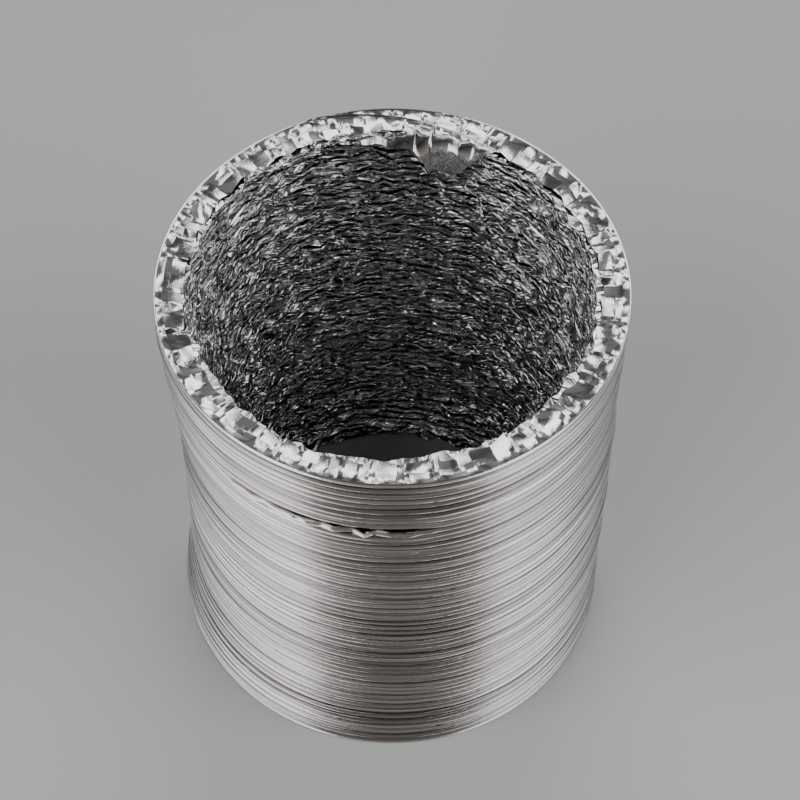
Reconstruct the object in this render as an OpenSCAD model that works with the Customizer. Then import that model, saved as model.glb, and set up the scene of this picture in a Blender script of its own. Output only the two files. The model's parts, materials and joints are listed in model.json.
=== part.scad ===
// Flexible air duct: a foil hose on a spring-wire coil, standing closed on its bottom end.
// The wall is a stack of wire turns. Outer and inner foil run over every turn and fold inwards
// between neighbours. The stack is divided into short rigid sections with one loose leaf of
// foil between each two, so that either side of the wall can open like a fan.

/* [Size] */
// Outer radius of the end turns, over the foil
end_r = 103; // [63:1:160]
// How far the slimmest turns sit inside the end turns
waist_inset = 3; // [1:0.5:4]
// Height of the closed stack
height = 225; // [180:1:280]
// Depth of each fold, measured inwards from the outer radius
fold_depth = 14; // [10:0.5:16]

/* [Sections] */
// Number of rigid sections
section_count = 14; // [6:1:14]
// Wire turns in each section
turns_each = 4; // [3:1:4]

/* [Flare] */
// Full-width turns at each end, where a hose clamp sits
seat_turns = 3; // [2:1:3]
// Step down from a clamp seat to the turn beside it
seat_step = 0.6; // [0.5:0.1:1]
// Turns over which the wall narrows below the top seat
top_flare = 16; // [4:1:18]
// Turns over which the wall narrows above the bottom seat
bottom_flare = 3; // [1:1:6]

/* [Wire and foil] */
// Diameter of the spring wire
wire_d = 1.2; // [0.8:0.1:1.4]
// Thickness of each foil layer
foil_t = 0.12; // [0.08:0.01:0.15]
// Width of the land where the foil wraps a wire turn
land_w = 2.2; // [1.9:0.1:2.4]
// Clear gap between layers, where the adhesive is
film = 0.05; // [0.03:0.01:0.08]
// Clear gap between two leaves at the bottom of a fold
fold_gap = 0.3; // [0.25:0.01:0.4]

/* [Ends] */
// Width of the turned-in flap on each end
flap_w = 11.5; // [8:0.5:13]
// Thickness of the hemmed flap on each end
flap_t = 0.3; // [0.2:0.05:0.4]
// Clear gap between a flap and its neighbours
flap_gap = 0.1; // [0.05:0.01:0.2]
// How far the loose strip end hangs inside the mouth
tail_drop = 16; // [8:1:16]
// Arc of the loose strip end, in degrees
tail_arc = 54; // [20:1:90]
// Direction of the middle of the loose strip end, in degrees from +X
tail_middle = 88; // [0:1:359]
// Width of the lip by which the loose strip end lies on the flap
tail_lip = 7; // [5:0.5:10]

/* [Hidden] */
$fn = 96;
turn_count = section_count * turns_each;
// The closed stack: bottom flap, turns, top flap, lip of the loose strip end
stack_z = flap_t + flap_gap;
top_flap_z = height - 2 * flap_t - flap_gap;
pitch = (top_flap_z - flap_gap - stack_z) / turn_count;
// Where a leaf meets a fold, above or below its wire, and how steeply it gets there
leaf_reach = (pitch - fold_gap) / 2;
leaf_slope = (leaf_reach - land_w / 2) / fold_depth;
// Depths below the outer surface, at a fold and at a wire
inner_start = foil_t + film;
inner_end = inner_start + foil_t;
wire_inset = foil_t + film + wire_d / 2;
inner_crest = wire_inset + wire_d / 2 + film;

function two_digits(n) = n < 10 ? str("0", n) : str(n);
function names(stem, count) = [for (n = [1:count]) str(stem, "_", two_digits(n))];

// A turn is numbered from 0 at the bottom
function turn_z(turn) = stack_z + (turn + 0.5) * pitch;
function ease(x) = (1 - cos(180 * min(max(x, 0), 1))) / 2;
// How far a turn sits inside the end turns, counted in steps from its own end
function inset(steps, flare) =
    steps < seat_turns ? 0
    : seat_step + (waist_inset - seat_step) * ease((steps - seat_turns + 1) / (flare + 1));
function turn_r(turn) =
    end_r - min(inset(turn, bottom_flare), inset(turn_count - 1 - turn, top_flare));
// The fold above a turn is equally deep on both sides
function fold_r(turn) =
    min(turn_r(max(turn, 0)), turn_r(min(turn + 1, turn_count - 1))) - fold_depth;

// The loose strip end hangs clear of the deepest fold of the top section
tail_r = fold_r(turn_count - turns_each - 1) - inner_end - 2 * flap_t;

// One surface of a foil layer, from fold to land to fold over each turn of a section.
// at_land and at_fold are its depths below the outer surface there.
function turn_path(turn, at_land, at_fold) =
    let (r = turn_r(turn), z = turn_z(turn))
    let (land_half = land_w / 2 + leaf_slope * at_land - at_fold, fold_half = leaf_reach - at_fold)
    [
        [fold_r(turn - 1) - at_fold, z - fold_half],
        [r - at_land, z - land_half],
        [r - at_land, z + land_half],
        [fold_r(turn) - at_fold, z + fold_half]
    ];
function section_path(section, at_land, at_fold) = [
    for (turn = [(section - 1) * turns_each : section * turns_each - 1])
        each turn_path(turn, at_land, at_fold)
];
function reversed(list) = [for (i = [len(list) - 1 : -1 : 0]) list[i]];

module foil_layer(outer_path, inner_path)
    rotate_extrude() polygon(concat(outer_path, reversed(inner_path)));

// The wire turns of one section, bonded between its two foil layers
module wire_coil(section)
    color("dimgray")
    for (turn = [(section - 1) * turns_each : section * turns_each - 1])
        translate([0, 0, turn_z(turn)])
            rotate_extrude()
                translate([turn_r(turn) - wire_inset, 0])
                    circle(d = wire_d, $fn = 24);

// The foil on the outside of the wire, folded inwards between turns
module outer_foil(section)
    color("lightgray")
    foil_layer(
        section_path(section, 0, 0),
        section_path(section, foil_t, foil_t)
    );

// The foil on the air side, which follows the outer foil but passes inside the wire
module inner_foil(section)
    color("silver")
    foil_layer(
        section_path(section, inner_crest, inner_start),
        section_path(section, inner_crest + foil_t, inner_end)
    );

// A flat ring of foil
module ring(outer, inner, z, thickness)
    translate([0, 0, z])
        difference() {
            cylinder(r = outer, h = thickness);
            translate([0, 0, -1])
                cylinder(r = inner, h = thickness + 2);
        }

// The leaf of foil between one section and the next, lying at the bottom of their fold
module fold_leaf(section) {
    inner_r = fold_r(section * turns_each - 1);
    fold_z = stack_z + section * turns_each * pitch;
    color("gainsboro")
    ring(inner_r + fold_depth, inner_r, fold_z - foil_t / 2, foil_t);
}

// The cut end of the foil, hemmed and turned in over the last wire turn
module end_flap(z)
    color("whitesmoke")
    ring(end_r, end_r - flap_w, z, flap_t);
module bottom_end_flap() end_flap(0);
module top_end_flap() end_flap(top_flap_z);

// The loose end of the foil strip: a lip on the top flap, and a band hanging in the mouth
module loose_strip_end()
    color("white")
    rotate([0, 0, tail_middle - tail_arc / 2])
        rotate_extrude(angle = tail_arc)
            translate([tail_r, height - tail_drop]) {
                square([flap_t, tail_drop]);
                translate([0, tail_drop - flap_t])
                    square([tail_lip, flap_t]);
            }

for (n = [1:section_count]) {
    wire_coil(n);
    outer_foil(n);
    inner_foil(n);
}
for (n = [1:section_count - 1])
    fold_leaf(n);
bottom_end_flap();
top_end_flap();
loose_strip_end();
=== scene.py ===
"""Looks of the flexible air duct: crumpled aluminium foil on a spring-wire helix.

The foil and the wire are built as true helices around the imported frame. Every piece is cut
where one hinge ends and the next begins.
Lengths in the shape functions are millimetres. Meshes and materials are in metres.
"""
import json
import math

import bpy
import numpy as np
from mathutils import Matrix, Vector

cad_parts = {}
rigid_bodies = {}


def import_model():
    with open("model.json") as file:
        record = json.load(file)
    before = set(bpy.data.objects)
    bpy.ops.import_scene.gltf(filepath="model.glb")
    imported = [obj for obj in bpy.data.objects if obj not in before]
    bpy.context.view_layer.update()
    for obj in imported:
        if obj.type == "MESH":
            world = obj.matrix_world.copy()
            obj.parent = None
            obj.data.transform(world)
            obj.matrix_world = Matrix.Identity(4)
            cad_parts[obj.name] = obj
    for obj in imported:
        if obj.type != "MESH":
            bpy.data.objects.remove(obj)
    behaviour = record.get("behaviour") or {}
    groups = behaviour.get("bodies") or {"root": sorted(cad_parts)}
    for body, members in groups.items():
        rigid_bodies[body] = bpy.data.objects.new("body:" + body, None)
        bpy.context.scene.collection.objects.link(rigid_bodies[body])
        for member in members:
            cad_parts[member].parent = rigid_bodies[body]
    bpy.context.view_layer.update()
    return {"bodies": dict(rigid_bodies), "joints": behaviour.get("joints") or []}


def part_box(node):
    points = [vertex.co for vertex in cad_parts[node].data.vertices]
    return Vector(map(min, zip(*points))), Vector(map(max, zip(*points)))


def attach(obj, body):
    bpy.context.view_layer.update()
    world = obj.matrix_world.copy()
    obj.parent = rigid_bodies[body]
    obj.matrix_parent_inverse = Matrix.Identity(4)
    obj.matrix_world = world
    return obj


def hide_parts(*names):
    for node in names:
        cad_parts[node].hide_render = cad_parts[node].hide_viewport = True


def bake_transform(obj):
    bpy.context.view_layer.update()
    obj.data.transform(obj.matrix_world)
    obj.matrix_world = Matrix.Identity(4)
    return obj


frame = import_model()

MM = 0.001

# ---------------------------------------------------------------- sizes
SECTIONS = sum(name.startswith("section_") for name in frame["bodies"])
CELLS = SECTIONS - 1
PAIRS = 2 * CELLS
END_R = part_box("top_end_flap")[1].x / MM
FLAP_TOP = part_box("top_end_flap")[1].z / MM
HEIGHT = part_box("loose_strip_end")[1].z / MM
# Radius of the wire and how far it lies under the foil, width of an end flap, and depth of
# the folds between the turns
WIRE_R = 0.6
WIRE_SUNK = 0.25
FLAP_W = 11.5
FOLD_DEPTH = 14.5
# Distance between the two foil layers, which is wider than the real one to keep them apart
LAYER_GAP = 0.3

# ---------------------------------------------------------------- the helix
# It starts and ends with a level turn. The turns between step up over the overlap, the arc by
# which the last turn passes the direction in which the first one began.
COLUMNS = 480
TURNS_EACH = 4
STEPS = TURNS_EACH * SECTIONS
OVERLAP = 0.15
TURNS = STEPS + OVERLAP
LEVEL_TURNS = 1 + OVERLAP
SEAM = math.radians(61)
SEED = 20
# The unit of crease spacing, in turns
FINE = 1 / 480

turn = np.arange(round(TURNS * COLUMNS) + 1) / COLUMNS
azimuth = SEAM + 2 * math.pi * turn


def section_profile():
    """Middle heights and outer radii of the CAD sections, which carry the flare."""
    heights, radii = [], []
    for n in range(1, SECTIONS + 1):
        low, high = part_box(f"outer_foil_{n:02d}")
        heights.append((low.z + high.z) / 2 / MM)
        radii.append(high.x / MM)
    return np.array(heights), np.array(radii)


def creased(rng, x, spacing, amplitude, alternate=0.0):
    """Straight runs between knots about spacing apart, like a crushed edge.

    alternate from 0 to 1 makes neighbouring knots swing to opposite sides."""
    count = int((x[-1] - x[0]) / spacing) + 3
    steps = rng.uniform(0.45, 1.55, count) * spacing
    knots = x[0] - spacing + np.cumsum(steps)
    values = rng.uniform(-1, 1, count)
    signs = np.where(np.arange(count) % 2, 1.0, -1.0)
    values = (1 - alternate) * values + alternate * signs * np.abs(values)
    return amplitude * np.interp(x, knots, values)


def sheared(rng, spacing, rows_apart, amplitude):
    """Creases shared by neighbouring turns, which change slowly from turn to turn."""
    rows = int(TURNS / rows_apart) + 3
    ring = np.arange(COLUMNS + 1) / COLUMNS
    table = np.stack([creased(rng, ring, spacing, amplitude, 0.6) for _ in range(rows)])
    table[:, -1] = table[:, 0]
    row_place = turn / rows_apart
    row = np.floor(row_place).astype(int)
    share = row_place - row
    column = np.arange(len(turn)) % COLUMNS
    return (1 - share) * table[row, column] + share * table[row + 1, column]


def spread(values, start, end):
    """0 before start and 1 after end, with a smooth step between."""
    x = np.clip((values - start) / (end - start), 0, 1)
    return x * x * (3 - 2 * x)


def between(values, start, end, step):
    """1 from start to end and 0 outside, with smooth steps of a given length inside."""
    return spread(values, start, start + step) * (1 - spread(values, end - step, end))


# ---------------------------------------------------------------- shape of the wall
# Half the height of the foil over a wire, and the heights of the lowest and the highest turn
CREST_HALF = 1.80
Z_LOW = 2.3
Z_HIGH = FLAP_TOP - CREST_HALF
PITCH = (Z_HIGH - Z_LOW) / STEPS
# Places along the helix, in turns: a patch of the strip that bulges, and a fold that gapes
BULGE = (46.447, 46.619)
GAPE = (23.495, 23.645)
PATCH_STEP = 0.03
# How far the patch stands out, how far the folds open above it and at the gape, and how far
# the fold below the patch opens
BULGE_OUT = 0.9
OPEN_ABOVE = 1.5
OPEN_BELOW = 1.2
# How far the middle of the stack sits to the side of its ends
SWAY = 2.4
# The turns over which the helix levels out, and those whose folds reach further in, and how
# much further the lowest one reaches
EASE_TURNS = 9
LOW_TURNS = 9
LOW_REACH = 6.5


def level(turns):
    """Height in steps when every turn is level but for its step over the overlap."""
    whole = np.floor(turns + 1e-9)
    return np.minimum(whole + spread(turns - whole, 0, OVERLAP), STEPS)


def rise(turns):
    """Height in steps along the helix, which levels out towards both ends."""
    upper = level(turns) - turns
    lower = STEPS - level(TURNS - turns) - turns
    near_top = spread(turns, TURNS - EASE_TURNS, TURNS - 1)
    near_bottom = 1 - spread(turns, 1, EASE_TURNS)
    return turns + upper * near_top + lower * near_bottom


def parted(start, end, gap):
    """Height shifts that open a gap just above the stretch from start to end. They fade out
    over the turns above and below it."""
    # how many turns a place is above the stretch, and where it is along it
    away = np.floor(turn - (start + end) / 2 + 0.5)
    local = turn - away
    distance = np.where(away > 0, away - 1, -away)
    shift = gap / 2 * np.where(away > 0, 1, -1) * np.exp(-distance / 3)
    return shift * between(local, start, end, PATCH_STEP)


def wall_lines():
    """Height and outer radius of the wire turns along the helix, and the shift of their
    centres to the side, all with the slight waviness of a hand-closed stack."""
    rng = np.random.default_rng(SEED)
    z = Z_LOW + PITCH * rise(turn)
    heights, radii = section_profile()
    r = np.interp(z, heights, radii)
    # the waviness fades out towards the two end turns
    wavy = between(turn, 1.2, TURNS - 1.2, 2)
    r += (0.30 * creased(rng, turn, 0.31, 1.0) + 0.3 * creased(rng, turn, 0.9, 1.0)) * wavy - 0.2
    z += (0.20 * creased(rng, turn, 0.23, 1.0) + 0.42 * creased(rng, turn, 0.62, 1.0)) * wavy
    z += parted(*GAPE, OPEN_ABOVE) + parted(*BULGE, OPEN_ABOVE)
    z += parted(BULGE[0] - 1, BULGE[1] - 1, OPEN_BELOW)
    bulge = between(turn, *BULGE, PATCH_STEP)
    r += bulge * (BULGE_OUT + creased(rng, turn, 4 * FINE, 1.3, 0.6))
    z += bulge * creased(rng, turn, 5 * FINE, 0.7, 0.5)
    sideways = SWAY * spread(z, 0, 0.25 * HEIGHT) * (1 - spread(z, 0.6 * HEIGHT, 0.92 * HEIGHT))
    return z, r, sideways


def gaps_to_neighbours():
    """Distances from each turn to the turns below and above it."""
    step = WALL_Z[COLUMNS:] - WALL_Z[:-COLUMNS]
    pad = np.full(COLUMNS, PITCH)
    return np.concatenate([pad, step]), np.concatenate([step, pad])


WALL_Z, WALL_R, WALL_X = wall_lines()
GAP_BELOW, GAP_ABOVE = gaps_to_neighbours()


def foil_profile():
    """The foil over one turn, from the fold below it to the fold above it.

    Returns stretch places s (-0.5 to 0.5 turns from the wire), and radii and heights with
    one row for each s and one column for each place along the helix."""
    rng = np.random.default_rng(SEED + 1)
    # the folds beside an end flap lie flat and away from it, so that they don't come through
    loose = 0.12 + 0.88 * between(turn, 1, TURNS - 1, 2.5)
    pressed = 1.3 * (spread(turn, TURNS - 1.6, TURNS - 1) - 1 + spread(turn, 1, 1.6))
    shared_z = loose * sheared(rng, 9 * FINE, 1.7, 2.6)
    own_z = loose * creased(rng, turn, 6 * FINE, 1.3, 0.5)
    tip_r = creased(rng, turn, 6 * FINE, 2.0, 0.6) + creased(rng, turn, 0.04, 1.2)
    # the lowest folds reach further in, and hide the floor
    tip_r -= LOW_REACH * (1 - spread(turn, 0, LOW_TURNS))
    lip = 0.95 + creased(rng, turn, 6 * FINE, 0.4)
    groove = np.maximum(0.12, 0.26 + creased(rng, turn, 0.13, 0.26))
    base_r = WALL_R - FOLD_DEPTH
    sides = []
    for side, gap in ((-1, GAP_BELOW), (1, GAP_ABOVE)):
        own = [loose * creased(rng, turn, span * FINE, 1.0, 0.4) for span in (5, 7, 9, 14, 18)]
        half = gap / 2
        # the land is as high as the turn's neighbour lets it be, so the groove opens and closes
        land = np.clip(half - groove, 0.02, CREST_HALF)
        flat = land / CREST_HALF
        # points as (radius, height from the wire), from the tip of the fold out to the crest
        tip = (base_r + tip_r, side * half + shared_z + own_z)
        shelf = (
            base_r + tip_r + 0.6 + 0.5 * own[0],
            side * (half - lip * flat) + shared_z + 0.8 * own_z + 0.15 * own[0],
        )
        inner_z = side * 0.6 * flat + 0.75 * shared_z + 0.55 * own[1] - pressed
        middle_z = side * 1.3 * flat + 0.25 * shared_z + 0.35 * own[2] - pressed
        inner = (base_r + 4.6 + 1.2 * own[1], inner_z)
        middle = (base_r + 8.6 + 0.8 * own[2], middle_z)
        neck = (WALL_R - 2.3 + 0.15 * own[3], side * (land + 0.02) + 0.06 * own[3] * flat)
        cheek = (WALL_R - 0.95 + 0.06 * own[4], side * land)
        belly = (WALL_R - 0.40 + 0.04 * own[4], side * land * 0.85)
        brow = (WALL_R - 0.10 + 0.03 * own[3], side * land * 0.5)
        sides.append([tip, shelf, inner, middle, neck, cheek, belly, brow])
    crest = (WALL_R, np.zeros_like(turn))
    below, above = sides
    # the fold above a turn is the fold below the next one, so its line is listed once
    points = below + [crest] + above[:0:-1]
    s = [-0.5, -0.46, -0.37, -0.28, -0.2, -0.15, -0.1, -0.05, 0.0]
    s += [-x for x in s[-2:0:-1]]
    radii = np.stack([p[0] for p in points])
    heights = np.stack([WALL_Z + p[1] for p in points])
    return np.array(s), radii, heights


def place(radius, height, along=azimuth, shift=WALL_X):
    """Row-frame points in metres for radii and heights at azimuths."""
    x = radius * np.cos(along) + shift
    y = radius * np.sin(along)
    return np.stack([x, y, np.broadcast_to(height, x.shape)], axis=-1) * MM


# ---------------------------------------------------------------- joints and pieces
def joint_chain():
    """The joints from the bottom up, two to a cell, as (parent, child, hinge side in x)."""
    by_parent = {j["parent"]: j for j in frame["joints"]}
    body = "section_01"
    chain = []
    while body in by_parent:
        joint = by_parent[body]
        chain.append((joint["parent"], joint["child"], joint["pos_m"][0]))
        body = joint["child"]
    return chain


CHAIN = joint_chain()
# The least share of a cell that opens at either of its hinges
NARROWEST = 0.12


def stretch_place(turns):
    """Where a point lies along the stretching part of the wall, in cells."""
    free = TURNS - 2 * LEVEL_TURNS
    return np.clip((turns - LEVEL_TURNS) / free, 0, 1) * CELLS


def cell_split(x, cell):
    """Share of a cell that opens at its lower hinge, at a place x metres to the side."""
    hinge = np.array([side for _, _, side in CHAIN[::2]])[cell]
    share = (hinge - x) / (2 * hinge)
    return np.clip(share, NARROWEST, 1 - NARROWEST)


def pair_of(points, turns):
    """Number of the joint, from the bottom, that moves each point."""
    where = stretch_place(turns)
    cell = np.minimum(where.astype(int), CELLS - 1)
    return 2 * cell + (where - cell > cell_split(points[:, 0], cell))


def pair_weight(points, turns, pair):
    """How far each point has gone from the pair's parent body to its child."""
    cell = np.full(len(points), pair // 2)
    split = cell_split(points[:, 0], cell)
    u = stretch_place(turns) - cell
    return np.clip(u / split if pair % 2 == 0 else (u - split) / (1 - split), 0, 1)


def make_mesh(name, points, faces, material, smooth_angle=None):
    """A mesh object from points in metres and a row of point numbers for each face.

    It is flat shaded, or smooth but for edges that bend more than smooth_angle degrees."""
    mesh = bpy.data.meshes.new(name)
    mesh.vertices.add(len(points))
    mesh.vertices.foreach_set("co", points.astype(np.float32).ravel())
    mesh.loops.add(faces.size)
    mesh.loops.foreach_set("vertex_index", faces.astype(np.int32).ravel())
    mesh.polygons.add(len(faces))
    mesh.polygons.foreach_set("loop_start", np.arange(len(faces), dtype=np.int32) * faces.shape[1])
    mesh.update(calc_edges=True)
    mesh.validate()
    mesh.materials.append(material)
    if smooth_angle is None:
        mesh.shade_flat()
    else:
        mesh.shade_smooth()
        mesh.set_sharp_from_angle(angle=math.radians(smooth_angle))
    obj = bpy.data.objects.new(name, mesh)
    bpy.context.scene.collection.objects.link(obj)
    return obj


def split_by_joint(stem, points, turns, faces, material, smooth_angle, replaced):
    """Cuts one long mesh into a piece for each joint.

    It works out how far each point lies across its joint, with a point that two pieces share
    set to the body between them in both, but nothing uses these weights. The pieces stand for
    the CAD nodes of the stems in replaced."""
    middle = points[faces].mean(axis=1)
    pairs = pair_of(middle, turns[faces].mean(axis=1))
    lowest = np.full(len(points), PAIRS)
    highest = np.full(len(points), -1)
    for corner in faces.T:
        np.minimum.at(lowest, corner, pairs)
        np.maximum.at(highest, corner, pairs)
    for pair, (parent, child, _) in enumerate(CHAIN):
        mine = faces[pairs == pair]
        used, local = np.unique(mine, return_inverse=True)
        piece = make_mesh(
            f"{stem}_{pair + 1:02d}", points[used], local.reshape(mine.shape), material, smooth_angle
        )
        weight = pair_weight(points[used], turns[used], pair)
        weight[highest[used] > pair] = 1.0
        weight[lowest[used] < pair] = 0.0
        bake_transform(piece)
        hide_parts(*replaced_nodes(pair, replaced))


def replaced_nodes(pair, stems):
    """Names of the CAD nodes that a pair's piece stands for."""
    cell = pair // 2 + 1
    names = [f"{stem}_{cell:02d}" for stem in stems]
    if pair == PAIRS - 1:
        names += [f"{stem}_{SECTIONS:02d}" for stem in stems if stem != "fold_leaf"]
    return names


# ---------------------------------------------------------------- materials
def new_material(name):
    """A new material, its node tree and its shader node."""
    material = bpy.data.materials.new(name)
    material.use_nodes = True
    tree = material.node_tree
    return material, tree, tree.nodes["Principled BSDF"]


def add(tree, kind, **settings):
    """A new node. Each setting is the value of an input of that name, or else an attribute."""
    node = tree.nodes.new(kind)
    for key, value in settings.items():
        if key in node.inputs:
            node.inputs[key].default_value = value
        else:
            setattr(node, key, value)
    return node


def math_node(tree, operation, *values):
    """A Math node whose inputs are numbers or sockets."""
    node = add(tree, "ShaderNodeMath", operation=operation)
    for socket, value in zip(node.inputs, values):
        if isinstance(value, (int, float)):
            socket.default_value = value
        else:
            tree.links.new(value, socket)
    return node.outputs[0]


def mapped(tree, vector, scale, turned=0.0):
    """A vector turned about its third axis by some degrees and then stretched by scale."""
    for key, value in {"Rotation": (0, 0, math.radians(turned)), "Scale": scale}.items():
        node = add(tree, "ShaderNodeMapping")
        node.inputs[key].default_value = value
        tree.links.new(vector, node.inputs["Vector"])
        vector = node.outputs["Vector"]
    return vector


def object_place(tree):
    return add(tree, "ShaderNodeTexCoord").outputs["Object"]


def unrolled_place(tree, radius):
    """The place on the unrolled wall: metres round the wall, then metres up."""
    parts = add(tree, "ShaderNodeSeparateXYZ")
    tree.links.new(object_place(tree), parts.inputs[0])
    around = math_node(tree, "ARCTAN2", parts.outputs["Y"], parts.outputs["X"])
    joined = add(tree, "ShaderNodeCombineXYZ")
    tree.links.new(math_node(tree, "MULTIPLY", around, radius), joined.inputs["X"])
    tree.links.new(parts.outputs["Z"], joined.inputs["Y"])
    return joined.outputs[0]


def ranged(tree, value, given, wanted):
    """A value moved from one range to another and held inside it."""
    node = add(tree, "ShaderNodeMapRange")
    for key, limit in zip(("From Min", "From Max", "To Min", "To Max"), given + wanted):
        node.inputs[key].default_value = limit
    tree.links.new(value, node.inputs["Value"])
    return node.outputs["Result"]


# The part of the noise texture's values that is used
NOISE_RANGE = (0.34, 0.66)


def noise(tree, vector, detail, low=0.0, high=1.0):
    """A noise value that runs from low to high."""
    node = add(tree, "ShaderNodeTexNoise", Scale=1.0, Detail=detail)
    tree.links.new(vector, node.inputs["Vector"])
    return ranged(tree, node.outputs["Fac"], NOISE_RANGE, (low, high))


def two_tones(tree, factor, dark, bright):
    """A colour that goes from dark to bright as the factor goes from 0 to 1."""
    mix = add(tree, "ShaderNodeMix", data_type="RGBA")
    mix.inputs["A"].default_value = dark + (1,)
    mix.inputs["B"].default_value = bright + (1,)
    tree.links.new(factor, mix.inputs["Factor"])
    return mix.outputs["Result"]


def metal(name, dark, bright, tone, roughness, height, depth):
    """Metal from functions that build its tone, roughness and height values in its tree.

    depth is how high the relief stands, in metres."""
    material, tree, shader = new_material(name)
    shader.inputs["Metallic"].default_value = 1.0
    tree.links.new(two_tones(tree, tone(tree), dark, bright), shader.inputs["Base Color"])
    tree.links.new(roughness(tree), shader.inputs["Roughness"])
    bump = add(tree, "ShaderNodeBump", Distance=depth)
    tree.links.new(height(tree), bump.inputs["Height"])
    tree.links.new(bump.outputs["Normal"], shader.inputs["Normal"])
    return material


def drift(scale, low, high):
    """Noise over the surface from low to high, for metal(). scale is how many of its cells
    fit in a metre, along each axis."""
    return lambda tree: noise(tree, mapped(tree, object_place(tree), scale), 3.0, low, high)


def crease_shade_lines(coarse, fine, dark):
    """Lines along the turns in two widths, for metal(), the fine ones dark as painted shade of the
    grooves and creases along the turns. coarse and fine are scales as in drift(), and dark is the
    tone of a fine line."""
    def build(tree):
        where = object_place(tree)
        wide = noise(tree, mapped(tree, where, coarse), 3.0)
        # fine dark lines of painted shade, as in grooves and creases
        thin = noise(tree, mapped(tree, where, fine), 2.0, dark, 1.0)
        return math_node(tree, "MULTIPLY", wide, thin)
    return build


def strands(slants, length, thickness, radius):
    """Crossing strands of crushed foil on the unrolled wall, for metal().

    slants are degrees from level, one for each layer of strands; the rest is in metres."""
    def build(tree):
        where = unrolled_place(tree, radius)
        scale = (1 / length, 1 / thickness, 1)
        layers = [noise(tree, mapped(tree, where, scale, slant), 0.4) for slant in slants]
        return math_node(tree, "MAXIMUM", *layers)
    return build


# The outer foil is darker along fine lines round the turns: painted shade of its grooves and creases
OUTER_FOIL = metal(
    "outer_foil",
    dark=(0.33, 0.32, 0.317), bright=(0.98, 0.96, 0.955),
    tone=crease_shade_lines((7, 7, 420), (6, 6, 1250), 0.35),
    roughness=drift((12, 12, 300), 0.14, 0.22),
    height=drift((160, 160, 700), 0, 1), depth=0.00004,
)
# Crossing strands of crushed foil: as height they are its real relief, and as tone they are painted
# highlights on the strands and painted shade between them
CRUSHED_RELIEF_AND_SHEEN = strands((17, -15), length=0.013, thickness=0.0011, radius=0.088)
INNER_FOIL = metal(
    "inner_foil",
    dark=(0.52, 0.52, 0.52), bright=(0.98, 0.975, 0.975),
    tone=CRUSHED_RELIEF_AND_SHEEN,
    roughness=drift((60, 60, 200), 0.09, 0.19),
    height=CRUSHED_RELIEF_AND_SHEEN, depth=0.0009,
)
BRIGHT_FOIL = metal(
    "bright_foil",
    dark=(0.80, 0.80, 0.795), bright=(0.93, 0.925, 0.92),
    tone=drift((60, 60, 60), 0, 1),
    roughness=drift((40, 40, 40), 0.05, 0.11),
    height=drift((300, 300, 300), 0, 1), depth=0.00003,
)
WIRE_STEEL = metal(
    "wire_steel",
    dark=(0.46, 0.45, 0.44), bright=(0.58, 0.57, 0.56),
    tone=drift((30, 30, 300), 0, 1),
    roughness=drift((30, 30, 300), 0.25, 0.35),
    height=drift((900, 900, 900), 0, 1), depth=0.00001,
)


# ---------------------------------------------------------------- foil walls and wire
def helical_faces(rows):
    """Quads of a wall whose last row joins the first row one turn further on."""
    total = len(turn)
    column = np.arange(total - 1)
    quads = []
    for row in range(rows - 1):
        here = row * total + column
        quads.append(np.stack([here, here + 1, here + 1 + total, here + total], axis=1))
    column = np.arange(total - 1 - COLUMNS)
    here = (rows - 1) * total + column
    onward = column + COLUMNS
    quads.append(np.stack([here, here + 1, onward + 1, onward], axis=1))
    return np.concatenate(quads)


def trim_ends(faces, s_of_row):
    """Leaves out the lower leaf of the first turn and the upper leaf of the last one,
    where the end flaps take over from the foil wall."""
    total = len(turn)
    row, column = faces[:, 0] // total, faces[:, 0] % total
    wraps = row == len(s_of_row) - 1
    below_crest, above_crest = s_of_row[row] < -0.07, s_of_row[row] > -0.01
    first = (column < COLUMNS) & below_crest
    last = (column >= total - 1 - COLUMNS) & above_crest
    return faces[wraps | ~(first | last)]


def foil_layer(stem, inset, material, replaced):
    """One foil layer over the whole duct, inset millimetres inside the outer surface."""
    s, radii, heights = foil_profile()
    if inset:
        # under the crest the inner layer passes on the inside of the wire
        crest = 1 - spread(np.abs(s), 0.12, 0.22)
        radii = radii - inset - crest[:, None] * 2 * WIRE_R
        toward_wire = np.sign(s) * np.minimum(1, np.abs(s) / 0.1)
        heights = heights - inset * toward_wire[:, None]
    points = place(radii, heights, azimuth[None, :], WALL_X[None, :]).reshape(-1, 3)
    turns = (turn[None, :] + s[:, None]).reshape(-1)
    faces = trim_ends(helical_faces(len(s)), s)
    used, local = np.unique(faces, return_inverse=True)
    split_by_joint(
        stem, points[used], turns[used], local.reshape(faces.shape), material, 30, replaced
    )


def wire_helix():
    """The spring wire, a tube along the helix just under the outer foil."""
    # sides of the tube, and columns of the helix from one ring of its points to the next
    sides, every = 8, 4
    t, along = turn[::every], azimuth[::every]
    count = len(t)
    column = np.arange(count - 1)
    rings, quads = [], []
    for k in range(sides):
        angle = 2 * math.pi * k / sides
        r = WALL_R[::every] - WIRE_R - WIRE_SUNK + WIRE_R * math.cos(angle)
        z = WALL_Z[::every] + WIRE_R * math.sin(angle)
        rings.append(place(r, z, along, WALL_X[::every]))
        here, there = k * count + column, (k + 1) % sides * count + column
        quads.append(np.stack([here, here + 1, there + 1, there], axis=1))
    split_by_joint(
        "wire_helix", np.concatenate(rings), np.tile(t, sides), np.concatenate(quads),
        WIRE_STEEL, 60, ["wire_coil"],
    )


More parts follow.
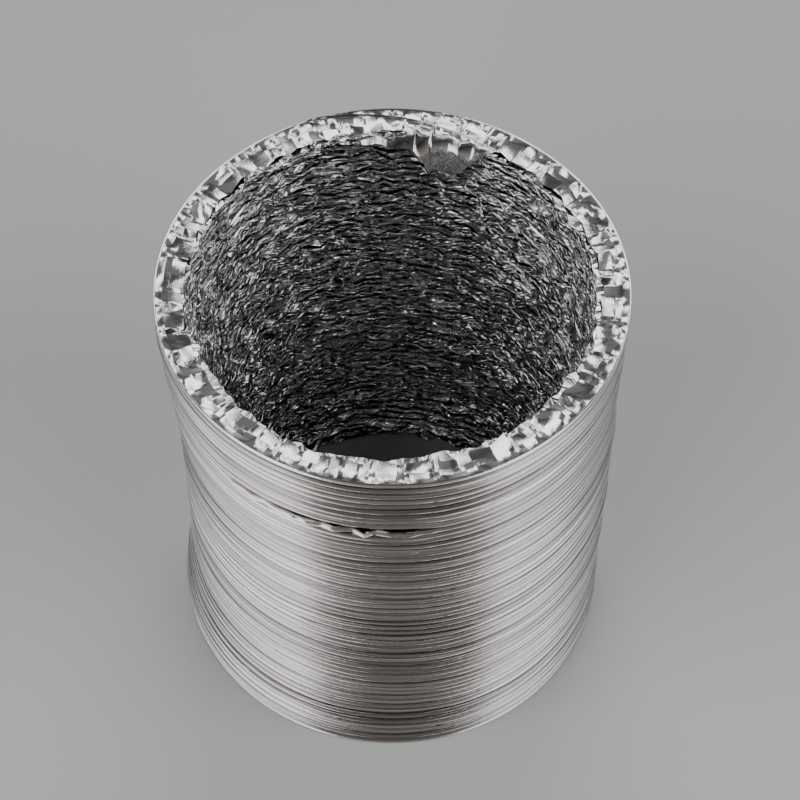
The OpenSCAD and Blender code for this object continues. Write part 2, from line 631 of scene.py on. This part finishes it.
# ---------------------------------------------------------------- end flaps and loose strip
def crumple(rng, along, across, knots, levels, lean):
    """A crumpled band, about -1 to 1, with a row for each across and a column for each along.

    Both run from 0 to 1. knots creases run across the band, each with as many bends as there
    are levels, and lean is how far a crease wanders in one level, in crease spacings."""
    where = (np.arange(knots) + rng.uniform(-0.35, 0.35, knots)) / knots
    swing = np.where(np.arange(knots) % 2, 1.0, -1.0)
    value = swing * rng.uniform(0.1, 1, knots)
    table = []
    for _ in range(levels + 1):
        table.append(np.interp(along, where, value, period=1.0))
        where = where + rng.uniform(-lean, lean, knots) / knots
        value = 0.55 * value + 0.45 * swing * rng.uniform(-0.4, 1.3, knots)
    table = np.array(table)
    level_place = across * levels
    low = np.minimum(level_place.astype(int), levels - 1)
    share = (level_place - low)[:, None]
    return (1 - share) * table[low] + share * table[low + 1]


def band_faces(rows, columns):
    """Quads of a band with rows across and columns along."""
    grid = np.arange(rows * columns).reshape(rows, columns)
    corners = grid[:-1, :-1], grid[:-1, 1:], grid[1:, 1:], grid[1:, :-1]
    return np.stack([c.ravel() for c in corners], axis=1)


def bright_band(name, rows, body, node):
    """A band of bright foil that rides on a body and stands for a CAD node."""
    points = np.stack(rows)
    band = make_mesh(name, points.reshape(-1, 3), band_faces(*points.shape[:2]), BRIGHT_FOIL)
    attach(band, body)
    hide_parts(node)


# The foil over the last wire turn, as (inwards, towards the end) from the outermost line
RIM = [(0, 0), (-0.02, 0.5), (0, 1.0), (0.12, 1.3), (0.4, 1.48), (0.75, 1.4), (1.0, 1.1)]
# Rows of points across a flap, creases round it, and bends of its inner edge
FLAP_ROWS = 16
FLAP_CREASES = 88
EDGE_BENDS = 64
# How far the inner edge passes the flap's width, how far it strays from there, and how much
# further in it is on the bottom flap
EDGE_PAST = 1.0
EDGE_STRAY = 1.6
BOTTOM_REACH = 14
# How high the creases stand, and how far the inner edge sags
FLAP_RELIEF = 1.5
FLAP_SAG = 1.1


def end_flap(name, first_turn, up, body, node, seed):
    """The cut end of the foil: over the wire of the last turn and inwards, crumpled."""
    rng = np.random.default_rng(SEED + seed)
    loop = np.linspace(0, 1, 3 * COLUMNS + 1)
    span = first_turn + loop
    along = SEAM + 2 * math.pi * span
    r, z, shift = (np.interp(span, turn, line) for line in (WALL_R, WALL_Z, WALL_X))
    rows = [place(r - inwards, z + up * lift, along, shift) for inwards, lift in RIM]
    across = np.linspace(0, 1, FLAP_ROWS + 1)[1:]
    folds = crumple(rng, loop, across, FLAP_CREASES, 2, 0.45)
    edge = crumple(rng, loop, np.zeros(1), EDGE_BENDS, 1, 0)[0]
    rim_in, rim_up = RIM[-1]
    depth = FLAP_W + EDGE_PAST - rim_in + EDGE_STRAY * edge + (0 if up > 0 else BOTTOM_REACH)
    # how far it may stand out and stay inside the duct's height
    room = HEIGHT - 0.1 - z if up > 0 else z - 0.15
    for v, fold in zip(across, folds):
        free = min(1.0, 4 * v)
        lift = rim_up - 0.4 * free - FLAP_SAG * v**2 + FLAP_RELIEF * free * fold
        height = z + up * np.minimum(lift, room)
        rows.append(place(r - rim_in - depth * v, height, along, shift))
    bright_band(name, rows, body, node)


# Where the loose strip starts and ends, in degrees round the mouth
STRIP_ENDS = (118, 60)
# Its points along and across, and the creases across it
STRIP_COLUMNS = 300
STRIP_ROWS = 24
STRIP_CREASES = 17
# (degrees, radius of the hem)
HEM_LINE = [(60, 90.2), (64, 91.0), (77, 94.0), (88, 97.0), (110, 102.3), (118, 102.4)]
# (degrees, radius of the lower edge, its drop below the hem)
LOWER_EDGE = [
    (60, 89.8, 0.5), (64, 86.0, 6), (70, 82.5, 15), (79, 82.5, 16), (84, 83.5, 6.5),
    (90, 84.5, 5), (97, 85.5, 4), (110, 90.0, 4.5), (118, 97.0, 3),
]
# The drop at which it turns down most sharply
DEEPEST = 16
# How far its creases stand out sideways and upwards
STRIP_RELIEF = (1.1, 0.9)
# The rolled hem, as (outwards, upwards) from its middle
HEM = [(0.3, 0.0), (0.4, 0.35), (0.0, 0.65), (-0.45, 0.4), (-0.5, 0.0)]


def loose_strip():
    """The loose end of the foil strip. Its hemmed edge leaves the rim and runs inwards over
    the flap, and the foil below the hem hangs into the mouth."""
    rng = np.random.default_rng(SEED + 9)
    share = np.linspace(0, 1, STRIP_COLUMNS)
    degrees = STRIP_ENDS[0] + (STRIP_ENDS[1] - STRIP_ENDS[0]) * share
    along = np.radians(degrees)
    hem_r = np.interp(degrees, *zip(*HEM_LINE))
    # the first stretch of the hem comes up from under the rim
    sunk = 1 - spread(share, 0, 0.12)
    hem_z = HEIGHT - 0.75 - 0.5 * share - 3.2 * sunk
    at, edge_r, edge_drop = zip(*LOWER_EDGE)
    low_r = np.interp(degrees, at, edge_r)
    drop = np.interp(degrees, at, edge_drop) + 0.6 * creased(rng, share, 0.05, 1.0)
    shift = np.interp(FLAP_TOP, WALL_Z, WALL_X)
    rows = [place(hem_r + out, hem_z + lift, along, shift) for out, lift in HEM]
    across = np.linspace(0, 1, STRIP_ROWS + 1)[1:]
    folds = crumple(rng, share, across, STRIP_CREASES, 2, 0.6)
    # where the foil hangs low it first runs inwards and then turns down
    deep = np.clip(drop / DEEPEST, 0, 1)
    for v, fold in zip(across, folds):
        free = math.sin(math.pi * min(v + 0.15, 1) * 0.75)
        crease_r, crease_z = (size * free * fold for size in STRIP_RELIEF)
        r = hem_r + HEM[-1][0] + (low_r - hem_r) * v ** (0.95 - 0.35 * deep) + crease_r
        z = hem_z - drop * v ** (1 + 0.8 * deep) + crease_z
        # no crease rises over the hem
        rows.append(place(np.minimum(r, hem_r - 0.3), np.minimum(z, hem_z + 0.3), along, shift))
    bright_band("loose_strip_foil", rows, f"section_{SECTIONS:02d}", "loose_strip_end")


# ---------------------------------------------------------------- stage, light, camera
def grey(brightness):
    return (brightness, brightness, brightness)


# What the foil sees of the room, by direction: degrees to the right of the viewer's side,
# and the colour there. Low down it is bright to the left and right and dark where the viewer
# stands; higher up it is dark but for four lamps.
LOW_ROOM = [
    (-180, (0.30, 0.31, 0.30)), (-150, (0.80, 0.79, 0.78)), (-122, (0.30, 0.29, 0.28)),
    (-100, (1.05, 1.02, 1.01)), (-80, (1.75, 1.70, 1.68)), (-46, (2.10, 2.03, 2.02)),
    (-28, (0.33, 0.306, 0.297)), (-12, (0.235, 0.214, 0.204)), (24, (0.240, 0.219, 0.209)),
    (34, (0.33, 0.309, 0.299)), (50, (1.72, 1.67, 1.66)), (72, (1.72, 1.69, 1.68)),
    (98, (0.85, 0.84, 0.83)), (120, (0.25, 0.245, 0.24)), (150, (0.85, 0.84, 0.83)),
    (180, (0.30, 0.31, 0.30)),
]
BACK_WALL = [(0.17, 0.18, 0.173), (0.16, 0.17, 0.163)]
HIGH_ROOM = [
    (-180, BACK_WALL[0]), (-167, BACK_WALL[1]), (-157, grey(2.5)), (-147, grey(2.5)),
    (-134, grey(0.14)), (-100, grey(0.40)), (-78, grey(1.7)), (-56, grey(1.7)),
    (-40, grey(0.10)), (0, (0.06, 0.05, 0.045)), (46, (0.08, 0.07, 0.07)), (60, grey(1.6)),
    (80, grey(1.6)), (98, grey(0.40)), (132, grey(0.14)), (147, grey(2.5)), (157, grey(2.5)),
    (167, BACK_WALL[1]), (180, BACK_WALL[0]),
]
# Heights of the direction between which the low room gives way to the high one
LOW_TO_HIGH = (0.1, 0.4)
# How bright the room is at each height of the direction, from straight down to straight up
ROOM_HEIGHTS = [
    (-1.0, grey(1.0)), (0.45, grey(1.0)), (0.58, grey(0.35)), (0.72, grey(1.0)),
    (0.84, grey(1.0)), (0.90, grey(0.35)), (0.97, grey(1.1)),
]


def ramp(tree, value, limits, stops):
    """A smooth ramp of colours over a value, from stops of (value, colour)."""
    node = add(tree, "ShaderNodeValToRGB")
    node.color_ramp.interpolation = "EASE"
    elements = node.color_ramp.elements
    while len(elements) < len(stops):
        elements.new(0.5)
    for element, (at, color) in zip(elements, stops):
        element.position = (at - limits[0]) / (limits[1] - limits[0])
        element.color = color + (1,)
    tree.links.new(ranged(tree, value, limits, (0.0, 1.0)), node.inputs["Fac"])
    return node.outputs["Color"]


def room_color(tree, direction):
    """The colour of the room in a direction."""
    parts = add(tree, "ShaderNodeSeparateXYZ")
    tree.links.new(direction, parts.inputs[0])
    toward = math_node(tree, "MULTIPLY", parts.outputs["Y"], -1.0)
    around = math_node(tree, "ARCTAN2", parts.outputs["X"], toward)
    degrees = math_node(tree, "MULTIPLY", around, 180 / math.pi)
    around_room = add(tree, "ShaderNodeMix", data_type="RGBA")
    tree.links.new(ramp(tree, degrees, (-180, 180), LOW_ROOM), around_room.inputs["A"])
    tree.links.new(ramp(tree, degrees, (-180, 180), HIGH_ROOM), around_room.inputs["B"])
    height = ranged(tree, parts.outputs["Z"], LOW_TO_HIGH, (0.0, 1.0))
    tree.links.new(height, around_room.inputs["Factor"])
    both = add(tree, "ShaderNodeVectorMath", operation="MULTIPLY")
    tree.links.new(around_room.outputs["Result"], both.inputs[0])
    tree.links.new(ramp(tree, parts.outputs["Z"], (-1, 1), ROOM_HEIGHTS), both.inputs[1])
    return both.outputs[0]


def glossy_ray(tree):
    return add(tree, "ShaderNodeLightPath").outputs["Is Glossy Ray"]


# How brightly the floor glows with its painted reflection of the room's colours, and half the
# floor's width in metres
FLOOR_PAINTED_REFLECTION = 0.9
FLOOR_HALF = 40.0


def floor():
    """A grey table. In glossy rays it glows with the room's colours, a painted reflection as on a
    shiny table, but not under the duct, where it is black to them as painted shade."""
    material, tree, shader = new_material("floor_grey")
    link = tree.links.new
    shader.inputs["Base Color"].default_value = (0.385, 0.40, 0.388, 1)
    shader.inputs["Roughness"].default_value = 0.6
    shader.inputs["Specular IOR Level"].default_value = 0.2
    where = add(tree, "ShaderNodeNewGeometry")
    away = add(tree, "ShaderNodeVectorMath", operation="SCALE", Scale=-1.0)
    link(where.outputs["Incoming"], away.inputs[0])
    reach = add(tree, "ShaderNodeVectorMath", operation="LENGTH")
    link(where.outputs["Position"], reach.inputs[0])
    outside = math_node(tree, "GREATER_THAN", reach.outputs["Value"], END_R * MM)
    # painted reflection: in glossy rays the floor glows with the room's colours, but not under the
    # duct
    painted_reflection = add(tree, "ShaderNodeEmission")
    link(room_color(tree, away.outputs[0]), painted_reflection.inputs["Color"])
    link(math_node(tree, "MULTIPLY", outside, FLOOR_PAINTED_REFLECTION), painted_reflection.inputs["Strength"])
    mix = add(tree, "ShaderNodeMixShader")
    link(glossy_ray(tree), mix.inputs["Fac"])
    link(shader.outputs[0], mix.inputs[1])
    link(painted_reflection.outputs[0], mix.inputs[2])
    link(mix.outputs[0], tree.nodes["Material Output"].inputs["Surface"])
    corners = FLOOR_HALF * np.array([[-1, -1, 0], [1, -1, 0], [1, 1, 0], [-1, 1, 0]])
    plane = make_mesh("floor", corners, np.array([[0, 1, 2, 3]]), material)


# How far the soft lamps stand from the middle of the duct, in metres
LAMP_DISTANCE = 1.9


def softbox(name, direction, elevation, width, height, power):
    """A rectangular soft light facing the duct; direction is degrees round from the viewer's
    side, positive to the right. The foil sees the room's colours in its place."""
    light = bpy.data.lights.new(name, "AREA")
    light.shape = "RECTANGLE"
    light.size, light.size_y = width, height
    light.energy = power
    lamp = bpy.data.objects.new(name, light)
    bpy.context.scene.collection.objects.link(lamp)
    lamp.visible_glossy = False
    turn_to, lift = math.radians(direction), math.radians(elevation)
    middle = Vector((0, 0, HEIGHT * MM / 2))
    outward = Vector((
        math.sin(turn_to) * math.cos(lift), -math.cos(turn_to) * math.cos(lift), math.sin(lift)
    ))
    lamp.location = middle + LAMP_DISTANCE * outward
    lamp.rotation_euler = outward.to_track_quat("Z", "Y").to_euler()


def studio():
    """Three soft lamps and a dim grey world, in which the foil sees the room's colours."""
    softbox("left_softbox", direction=-50, elevation=40, width=1.6, height=1.4, power=30)
    softbox("right_softbox", direction=60, elevation=40, width=1.4, height=1.4, power=26)
    softbox("back_softbox", direction=172, elevation=55, width=0.9, height=0.7, power=14)
    world = bpy.data.worlds.new("studio")
    bpy.context.scene.world = world
    world.use_nodes = True
    tree = world.node_tree
    direction = add(tree, "ShaderNodeTexCoord").outputs["Generated"]
    shade = add(tree, "ShaderNodeMix", data_type="RGBA")
    shade.inputs["A"].default_value = (0.17, 0.17, 0.165, 1)
    tree.links.new(room_color(tree, direction), shade.inputs["B"])
    tree.links.new(glossy_ray(tree), shade.inputs["Factor"])
    tree.links.new(shade.outputs["Result"], tree.nodes["Background"].inputs["Color"])


# The camera's height angle and roll in degrees, its focal length in millimetres, and, in rim
# radii, the point that it looks at and its distance
CAMERA_LIFT = 54.518
CAMERA_ROLL = 0.435
CAMERA_LENS = 109.6
CAMERA_TARGET = (0.035, 0, 1.360)
CAMERA_DISTANCE = 10.82


def camera():
    """A camera in front of the duct and well above it, slightly rolled."""
    unit = END_R * MM
    lift, roll = math.radians(CAMERA_LIFT), math.radians(CAMERA_ROLL)
    target = unit * Vector(CAMERA_TARGET)
    back = Vector((0, -math.cos(lift), math.sin(lift)))
    right = Vector((1, 0, 0))
    up = back.cross(right)
    tilted_right = math.cos(roll) * right + math.sin(roll) * up
    tilted_up = math.cos(roll) * up - math.sin(roll) * right
    data = bpy.data.cameras.new("camera")
    data.sensor_width = 36
    data.lens = CAMERA_LENS
    cam = bpy.data.objects.new("camera", data)
    bpy.context.scene.collection.objects.link(cam)
    basis = Matrix((tilted_right, tilted_up, back)).transposed()
    place_of_camera = target + CAMERA_DISTANCE * unit * back
    cam.matrix_world = Matrix.Translation(place_of_camera) @ basis.to_4x4()
    bpy.context.scene.camera = cam


# ---------------------------------------------------------------- build
foil_layer("outer_wall", 0.0, OUTER_FOIL, ["outer_foil", "fold_leaf"])
foil_layer("inner_wall", LAYER_GAP, INNER_FOIL, ["inner_foil"])
wire_helix()
end_flap("top_flap_foil", TURNS - 1, 1, f"section_{SECTIONS:02d}", "top_end_flap", 3)
end_flap("bottom_flap_foil", 0, -1, "section_01", "bottom_end_flap", 4)
loose_strip()
floor()
studio()
camera()
